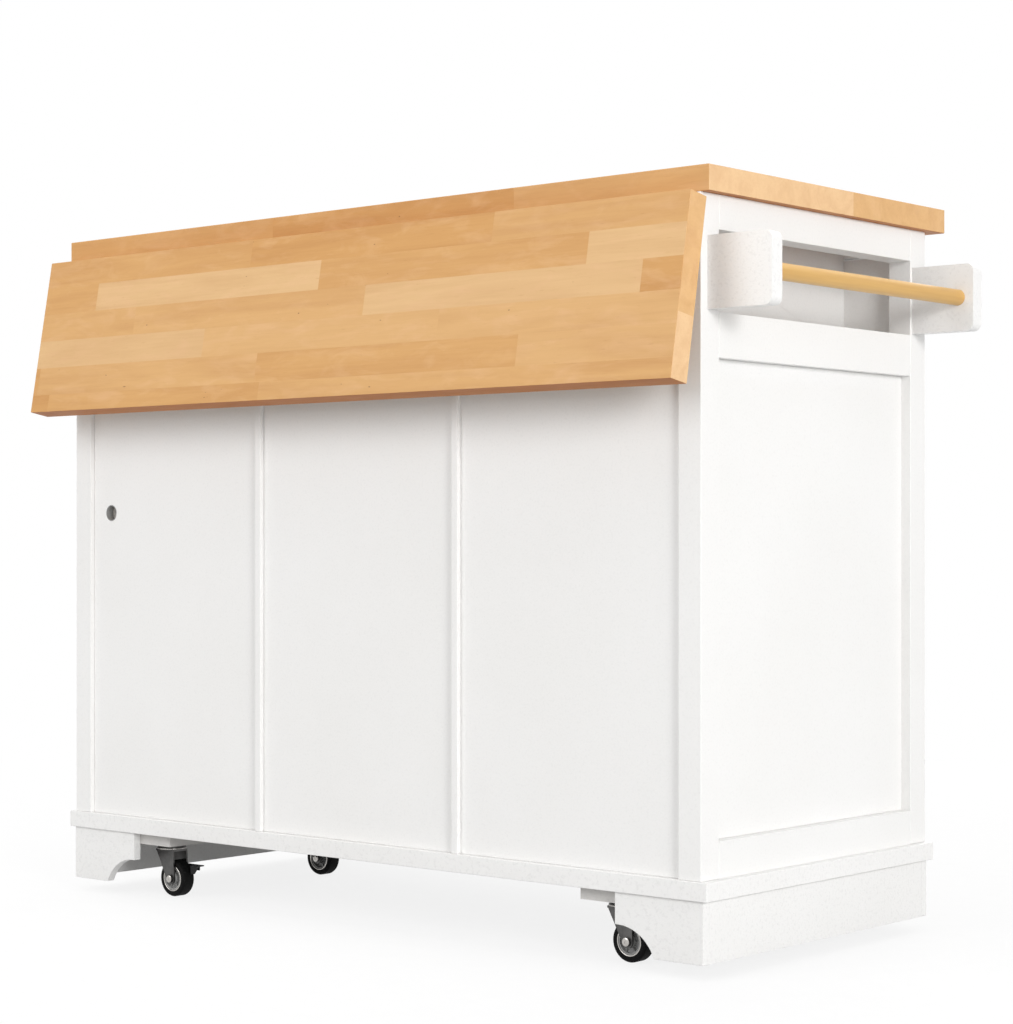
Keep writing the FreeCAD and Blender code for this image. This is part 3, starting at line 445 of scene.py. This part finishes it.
def node_materials():
    """The finish of the nodes that differ from others in their slot."""
    coarse = paint_material(
        "coarse_paint", PAINT_TONES, speckle=0.075, fineness=250.0, peel_depth=0.8 * MM
    )
    coarse_nodes = ("foot_boards", "end_skirts", "base_board", "towel_bracket_back", "towel_bracket_front")
    made = {node: coarse for node in coarse_nodes}
    made["leaf"] = stave_wood("leaf_wood", raised_place, LEAF_END_SEED)
    # Painted shade: the caster blocks get a darker paint, standing in for the shadow that the base board casts on
    # them.
    made["caster_blocks"] = paint_material(
        "caster_block_shade_paint", CASTER_BLOCK_SHADE_TONES, speckle=0.06, fineness=250.0, peel_depth=0.6 * MM
    )
    return made


MATERIALS = slot_materials()
NODE_MATERIALS = node_materials()


def round_edges(part, width):
    """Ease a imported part's sharp edges, so that they catch the light."""
    weld = part.modifiers.new("weld", "WELD")
    weld.merge_threshold = 0.01 * MM
    bevel = part.modifiers.new("edges", "BEVEL")
    bevel.width = width
    bevel.segments = 3
    bevel.limit_method = "ANGLE"
    bevel.angle_limit = math.radians(40)
    bevel.use_clamp_overlap = True
    part.modifiers.new("normals", "WEIGHTED_NORMAL")


def dress_nodes():
    """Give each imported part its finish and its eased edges."""
    for sub_part in RECORD["subparts"]:
        name = sub_part["node"]
        slot = sub_part["material_slot"]
        part = NODES[name]
        part.data.materials.clear()
        part.data.materials.append(NODE_MATERIALS.get(name, MATERIALS[slot]))
        round_edges(part, EDGE_WIDTHS[slot])


def islands(node):
    """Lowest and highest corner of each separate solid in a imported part."""
    digits = 5
    mesh = NODES[node].data
    leader = {}

    def top(key):
        while leader[key] != key:
            key = leader[key]
        return key

    keys = [tuple(round(axis, digits) for axis in vertex.co) for vertex in mesh.vertices]
    for key in keys:
        leader.setdefault(key, key)
    for edge in mesh.edges:
        first, second = (top(keys[index]) for index in edge.vertices)
        leader[second] = first
    boxes = {}
    for key in leader:
        low, high = boxes.setdefault(top(key), (list(key), list(key)))
        for axis in range(3):
            low[axis] = min(low[axis], key[axis])
            high[axis] = max(high[axis], key[axis])
    return [(Vector(low), Vector(high)) for low, high in boxes.values()]


def facing(place, direction):
    """A matrix that stands a shape's own +Z along a direction, at a place."""
    turn = Vector(direction).to_track_quat("Z", "Y").to_matrix().to_4x4()
    return Matrix.Translation(place) @ turn


def on_circle(radius, share, height):
    """The point that lies a share of a full turn round a circle at a height."""
    angle = 2.0 * math.pi * share
    return Vector((radius * math.cos(angle), radius * math.sin(angle), height))


def lathe(shape, profile, stand, segments, closed=False):
    """Turn a profile of (radius, height) points round an axis."""
    rings = []
    for radius, height in profile:
        count = segments if radius > 0.0 else 1
        ring = [on_circle(radius, index / segments, height) for index in range(count)]
        rings.append([shape.verts.new(stand @ corner) for corner in ring])
    pairs = list(zip(rings, rings[1:]))
    if closed:
        pairs.append((rings[-1], rings[0]))
    for lower, upper in pairs:
        for index in range(segments):
            following = index + 1
            walk = ((lower, index), (lower, following), (upper, following), (upper, index))
            corners = list(dict.fromkeys(ring[number % len(ring)] for ring, number in walk))
            if len(corners) > 2:
                shape.faces.new(corners)


def arc(centre, radius, start, end, steps):
    """Points of (radius, height) on an arc between two angles in degrees."""
    points = []
    for step in range(steps + 1):
        angle = math.radians(start + (end - start) * step / steps)
        points.append((centre[0] + radius * math.cos(angle), centre[1] + radius * math.sin(angle)))
    return points


def make_piece(name, shape, body, slot, replaced=()):
    """Turn a shape into a piece that rides a body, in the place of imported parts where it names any."""
    bmesh.ops.recalc_face_normals(shape, faces=shape.faces)
    mesh = bpy.data.meshes.new(name)
    shape.to_mesh(mesh)
    shape.free()
    mesh.polygons.foreach_set("use_smooth", [True] * len(mesh.polygons))
    mesh.set_sharp_from_angle(angle=SHARP_ANGLE)
    mesh.materials.append(MATERIALS[slot])
    piece = bpy.data.objects.new(name, mesh)
    bpy.context.scene.collection.objects.link(piece)
    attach(piece, body)
    if replaced:
        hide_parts(*replaced)


def add_band(shape, first, second):
    """Faces between two rings that have the same number of corners."""
    count = len(first)
    for index in range(count):
        following = (index + 1) % count
        shape.faces.new((first[index], first[following], second[following], second[index]))


def add_screw(shape, place, direction, radius):
    """A domed screw head with a cross recess."""
    segments = 24
    arm_pitch = segments // 4
    arm_wide = 2
    rise = 0.42 * radius
    roundness = 0.92
    recess_deep = 0.8 * rise
    recess_middle = 0.12
    recess_reach = 0.55
    recess_edge = recess_reach + 0.04
    shoulder = 0.85
    stand = facing(place, direction)
    rings = []
    for share in (recess_middle, recess_reach, recess_edge, shoulder, 1.0):
        dome = rise * math.sqrt(1.0 - roundness * share ** 2)
        ring = []
        for index in range(segments):
            in_arm = index % arm_pitch < arm_wide and share <= recess_reach
            sunk = in_arm or share == recess_middle
            corner = on_circle(share * radius, index / segments, dome - recess_deep if sunk else dome)
            ring.append(shape.verts.new(stand @ corner))
        rings.append(ring)
    foot_drop = stand.to_3x3() @ Vector((0.0, 0.0, 0.4 * rise))
    rings.append([shape.verts.new(vert.co - foot_drop) for vert in rings[-1]])
    shape.faces.new(rings[0])
    shape.faces.new(rings[-1])
    for lower, upper in zip(rings, rings[1:]):
        add_band(shape, lower, upper)


def leaf_hinge_screws():
    """Screws in both halves of the leaf's hinges."""
    plate_tall = 30 * MM
    plate_thick = 2 * MM
    pin_clear = 4.5 * MM
    leaf_under = 4 * MM
    fixed = bmesh.new()
    moving = bmesh.new()
    joint = JOINTS["leaf_fold"]
    pin = Vector(joint["pos_m"])
    turn = Matrix.Rotation(-math.radians(joint["range_deg"][1]), 4, Vector(joint["axis"]))
    hang = Matrix.Translation(pin) @ turn @ Matrix.Translation(-pin)
    outward = turn.to_3x3() @ Vector((0, 0, -1))
    for low, high in islands("leaf_hinges_fixed"):
        if high.z - low.z < plate_tall:
            continue
        middle = (low.x + high.x) / 2
        for share in (-0.34, 0.0, 0.34):
            x = middle + share * (high.x - low.x)
            place = Vector((x, high.y - plate_thick, low.z + plate_tall / 2))
            add_screw(fixed, place, (0, -1, 0), LARGE_SCREW)
            raised = Vector((x, pin.y - pin_clear - plate_tall / 2, pin.z + leaf_under))
            add_screw(moving, hang @ raised, outward, LARGE_SCREW)
    make_piece("leaf_hinge_screws_fixed", fixed, "carcass", "zinc_steel")
    make_piece("leaf_hinge_screws_moving", moving, "leaf_assembly", "zinc_steel")


def add_flap_screws(shape, low, high, pin_x):
    """Two screws in one flap of a door hinge, away from its pin."""
    flap_wide = 13 * MM
    flap_thick = 1.5 * MM
    outward = 1 if (low.x + high.x) / 2 > pin_x else -1
    edge = high.x if outward > 0 else low.x
    for share in (0.2, 0.8):
        height = low.z + share * (high.z - low.z)
        place = Vector((edge - outward * flap_wide / 2, low.y + flap_thick, height))
        add_screw(shape, place, (0, 1, 0), SMALL_SCREW)


def door_hinge_screws():
    """Screws in both flaps of each door hinge."""
    pin_wide = 4 * MM
    pins = {bay: JOINTS[f"{bay}_door_hinge"]["pos_m"][0] for bay in ("middle", "right")}
    fixed = bmesh.new()
    for low, high in islands("door_hinges_fixed"):
        middle = (low.x + high.x) / 2
        pin_x = min(pins.values(), key=lambda x: abs(x - middle))
        if high.x - low.x > pin_wide:
            add_flap_screws(fixed, low, high, pin_x)
    make_piece("door_hinge_screws_fixed", fixed, "carcass", "nickel")
    for bay, pin_x in pins.items():
        moving = bmesh.new()
        for low, high in islands(f"door_hinge_flaps_{bay}"):
            add_flap_screws(moving, low, high, pin_x)
        make_piece(f"door_hinge_screws_{bay}", moving, f"{bay}_door", "nickel")


def caster_screws():
    """Four screws through each caster's plate into its block."""
    plate_thick = 2.5 * MM
    inset = 3.6 * MM
    shape = bmesh.new()
    for low, high in islands("caster_plates"):
        for x in (low.x + inset, high.x - inset):
            for y in (low.y + inset, high.y - inset):
                add_screw(shape, Vector((x, y, high.z - plate_thick)), (0, 0, -1), SMALL_SCREW)
    make_piece("caster_screws", shape, "carcass", "zinc_steel")


def cable_hole_liner():
    """A thin grey sleeve in the cable hole of the left back panel."""
    wall = 0.8 * MM
    overlap = 0.1 * MM
    setback = 0.3 * MM
    low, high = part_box("back_panel_left")
    rim = [
        vertex.co for vertex in NODES["back_panel_left"].data.vertices
        if low.x + MM < vertex.co.x < high.x - MM and low.z + MM < vertex.co.z < high.z - MM
    ]
    left = min(corner.x for corner in rim)
    right = max(corner.x for corner in rim)
    bottom = min(corner.z for corner in rim)
    radius = (right - left) / 2
    outside = radius + overlap
    inside = radius - wall
    far = high.y - low.y
    profile = [(outside, setback), (inside, setback), (inside, far), (outside, far)]
    shape = bmesh.new()
    stand = facing(Vector(((left + right) / 2, low.y, bottom + radius)), (0, 1, 0))
    lathe(shape, profile, stand, segments=48, closed=True)
    make_piece("cable_hole_liner", shape, "carcass", "hub_plastic")


def knob_profile(radius, reach):
    """From the foot of a knob over its neck and rolled rim to the middle of its face."""
    foot = 0.62 * radius
    neck = 0.40 * radius
    hollow = 0.18 * reach
    rim = 0.11 * reach
    profile = [(0.0, 0.0), (foot, 0.0), (foot, 0.06 * reach)]
    profile += arc((neck + hollow, 0.28 * reach), hollow, 250, 180, steps=8)
    profile += arc((neck + hollow, 0.44 * reach), hollow, 180, 115, steps=6)
    profile += arc((radius - rim, 0.74 * reach), rim, -70, 60, steps=10)
    profile += [(0.55 * radius, 0.95 * reach), (0.30 * radius, 0.985 * reach), (0.0, reach)]
    return profile


def knobs():
    """Turned knobs with a rolled rim, in the space of the plain packed ones."""
    bodies = {
        "drawer_knob_left": "left_drawer",
        "drawer_knob_middle": "middle_drawer",
        "door_knob_middle": "middle_door",
        "door_knob_right": "right_door",
    }
    for node, body in bodies.items():
        low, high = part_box(node)
        middle = (low + high) / 2
        profile = knob_profile((high.x - low.x) / 2, high.y - low.y)
        shape = bmesh.new()
        stand = facing(Vector((middle.x, low.y, middle.z)), (0, 1, 0))
        lathe(shape, profile, stand, segments=64)
        make_piece(f"{node}_turned", shape, body, "nickel", (node,))


def add_rib(shape, stand):
    """A tapered rib between the middle and the rim of a wheel, on its web."""
    near = 7.6 * MM
    far = 14.2 * MM
    foot_half = 0.75 * MM
    top_half = 0.45 * MM
    bottom = 4.4 * MM
    near_top = 7.4 * MM
    ends = []
    for radius, top in ((near, near_top), (far, 0.85 * near_top)):
        outline = ((-foot_half, bottom), (foot_half, bottom), (top_half, top), (-top_half, top))
        corners = [Vector((radius, across, level)) for across, level in outline]
        ends.append([shape.verts.new(stand @ corner) for corner in corners])
    shape.faces.new(ends[0])
    shape.faces.new(ends[1])
    add_band(shape, *ends)


def wheel_details():
    """A bright rim ring and six ribs on both faces of each wheel."""
    rim_half = 9 * MM
    ring_thick = 1.0 * MM
    rib_count = 6
    for name in CASTER_NAMES:
        low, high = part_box(f"wheel_hub_{name}")
        middle = (low + high) / 2
        radius = (high.x - low.x) / 2
        profile = arc((radius - ring_thick, rim_half), ring_thick, 0, 330, steps=11)
        rings = bmesh.new()
        ribs = bmesh.new()
        for side in (-1, 1):
            stand = facing(middle, (0, side, 0))
            lathe(rings, profile, stand, segments=64, closed=True)
            for index in range(rib_count):
                add_rib(ribs, stand @ Matrix.Rotation(math.radians(360 / rib_count * index), 4, "Z"))
        make_piece(f"rim_rings_{name}", rings, f"wheel_{name}", "nickel")
        make_piece(f"hub_ribs_{name}", ribs, f"wheel_{name}", "hub_plastic")


def swivel_rings():
    """A bright ring round the swivel bearing on top of each caster's fork."""
    race_radius = 20 * MM
    race_tall = 3 * MM
    ring_thick = 0.9 * MM
    sunk = 0.3 * ring_thick
    profile = arc((race_radius - sunk, 0.0), ring_thick, -150, 150, steps=12)
    for name in CASTER_NAMES:
        x, y, _ = JOINTS[f"caster_{name}_swivel"]["pos_m"]
        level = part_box(f"caster_fork_{name}")[1].z - race_tall / 2
        shape = bmesh.new()
        lathe(shape, profile, facing(Vector((x, y, level)), (0, 0, 1)), segments=64, closed=True)
        make_piece(f"swivel_ring_{name}", shape, f"caster_{name}", "nickel")


def cap_profile(radius):
    """From the middle of a cap's hidden back over its domed edge to its dimpled middle."""
    rise = 0.2 * radius
    sunk = -0.05 * MM
    edge = [(0.0, sunk), (radius, sunk), (radius, 0.4 * rise), (0.86 * radius, 0.8 * rise)]
    face = [(0.55 * radius, rise), (0.30 * radius, rise), (0.24 * radius, 0.6 * rise)]
    return edge + face + [(0.0, 0.55 * rise)]


def axle_caps():
    """Bright domed caps over the bolt heads at both ends of each caster's axle."""
    cap_share = 0.92
    for name in CASTER_NAMES:
        hub_low, hub_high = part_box(f"wheel_hub_{name}")
        hub_level = (hub_low.z + hub_high.z) / 2
        solids = islands(f"caster_fork_{name}")
        low, high = min(solids, key=lambda box: abs((box[0].z + box[1].z) / 2 - hub_level))
        middle = (low + high) / 2
        profile = cap_profile(cap_share * (high.x - low.x) / 2)
        shape = bmesh.new()
        for y, outward in ((low.y, -1), (high.y, 1)):
            stand = facing(Vector((middle.x, y, middle.z)), (0, outward, 0))
            lathe(shape, profile, stand, segments=32)
        make_piece(f"axle_caps_{name}", shape, f"caster_{name}", "nickel")


def make_camera():
    """A level camera, shifted so that the picture is framed as the photograph is."""
    lens = bpy.data.cameras.new("camera")
    lens.sensor_fit = "VERTICAL"
    lens.sensor_height = SENSOR_MM
    lens.lens = FOCAL_PIXELS / IMAGE_HEIGHT * SENSOR_MM
    lens.shift_x = (IMAGE_WIDTH / 2 - AXIS_PIXEL[0]) / IMAGE_HEIGHT
    lens.shift_y = (AXIS_PIXEL[1] - IMAGE_HEIGHT / 2) / IMAGE_HEIGHT
    camera = bpy.data.objects.new("camera", lens)
    camera.location = CAMERA_PLACE
    camera.rotation_euler = (math.radians(90), 0.0, CAMERA_YAW)
    bpy.context.scene.collection.objects.link(camera)
    bpy.context.scene.camera = camera


def make_lamps():
    """Soft round lamps."""
    for name, (place, width, watts) in LAMPS.items():
        data = bpy.data.lights.new(name, "AREA")
        data.shape = "DISK"
        data.size = width
        data.energy = watts
        lamp = bpy.data.objects.new(name, data)
        lamp.location = place
        aim = Vector(LAMP_TARGET) - Vector(place)
        lamp.rotation_euler = aim.to_track_quat("-Z", "Y").to_euler()
        bpy.context.scene.collection.objects.link(lamp)


def seen_directly(tree):
    """1 for what the camera or a reflection shows, and 0 for the light that falls on the cart."""
    path = tree.nodes.new("ShaderNodeLightPath")
    seen = path.outputs["Is Camera Ray"]
    for kind in ("Is Glossy Ray", "Is Transmission Ray"):
        either = tree.nodes.new("ShaderNodeMath")
        either.operation = "MAXIMUM"
        tree.links.new(seen, either.inputs[0])
        tree.links.new(path.outputs[kind], either.inputs[1])
        seen = either.outputs[0]
    return seen


def make_world():
    """A white studio that lights the cart less than it shows."""
    world = bpy.data.worlds.new("studio")
    bpy.context.scene.world = world
    world.use_nodes = True
    tree = world.node_tree
    background = tree.nodes["Background"]
    background.inputs["Color"].default_value = rgba(WHITE)
    strength = tree.nodes.new("ShaderNodeMapRange")
    strength.inputs["To Min"].default_value = WORLD_LIGHT
    strength.inputs["To Max"].default_value = 1.0
    tree.links.new(seen_directly(tree), strength.inputs["Value"])
    tree.links.new(strength.outputs["Result"], background.inputs["Strength"])


def floor_material():
    """A pale tone that keeps the cart's soft shadow and fades to white away from it."""
    graph = Graph("floor")
    place = graph.place()
    cloud = graph.noise(place, scale=30.0, detail=3.0)
    seen = seen_directly(graph.tree)
    bounce, shown = (
        graph.ramp(cloud, ((0.3, grey(level - FLOOR_DRIFT)), (0.7, grey(level + FLOOR_DRIFT))))
        for level in (FLOOR_BOUNCE, FLOOR_SHOWN)
    )
    graph.set(Base_Color=graph.blend("MIX", seen, bounce, shown), Roughness=0.9)
    distance = graph.add("ShaderNodeVectorMath", {0: place}, operation="LENGTH").outputs["Value"]
    glow_share = graph.span(distance, FLOOR_FADE_FROM, FLOOR_FADE_TO, to_low=FLOOR_GLOW_NEAR)
    share = graph.math("MULTIPLY", seen, glow_share)
    glow = graph.add("ShaderNodeEmission", {"Color": rgba(WHITE), "Strength": 1.0})
    mix = graph.add("ShaderNodeMixShader", {0: share, 1: graph.bsdf.outputs[0], 2: glow.outputs[0]})
    graph.feed(graph.output.inputs["Surface"], mix.outputs[0])
    return graph.material


def make_floor():
    """A wide flat floor just under the wheels."""
    shape = bmesh.new()
    bmesh.ops.create_grid(shape, x_segments=1, y_segments=1, size=FLOOR_REACH)
    mesh = bpy.data.meshes.new("floor")
    shape.to_mesh(mesh)
    shape.free()
    mesh.materials.append(floor_material())
    floor = bpy.data.objects.new("floor", mesh)
    floor.location = (0.0, 0.0, CAD_BOX[0][2] - FLOOR_GAP)
    bpy.context.scene.collection.objects.link(floor)


dress_nodes()
leaf_hinge_screws()
door_hinge_screws()
caster_screws()
cable_hole_liner()
knobs()
wheel_details()
swivel_rings()
axle_caps()
make_camera()
make_lamps()
make_world()
make_floor()
bpy.context.scene.view_settings.view_transform = "Standard"
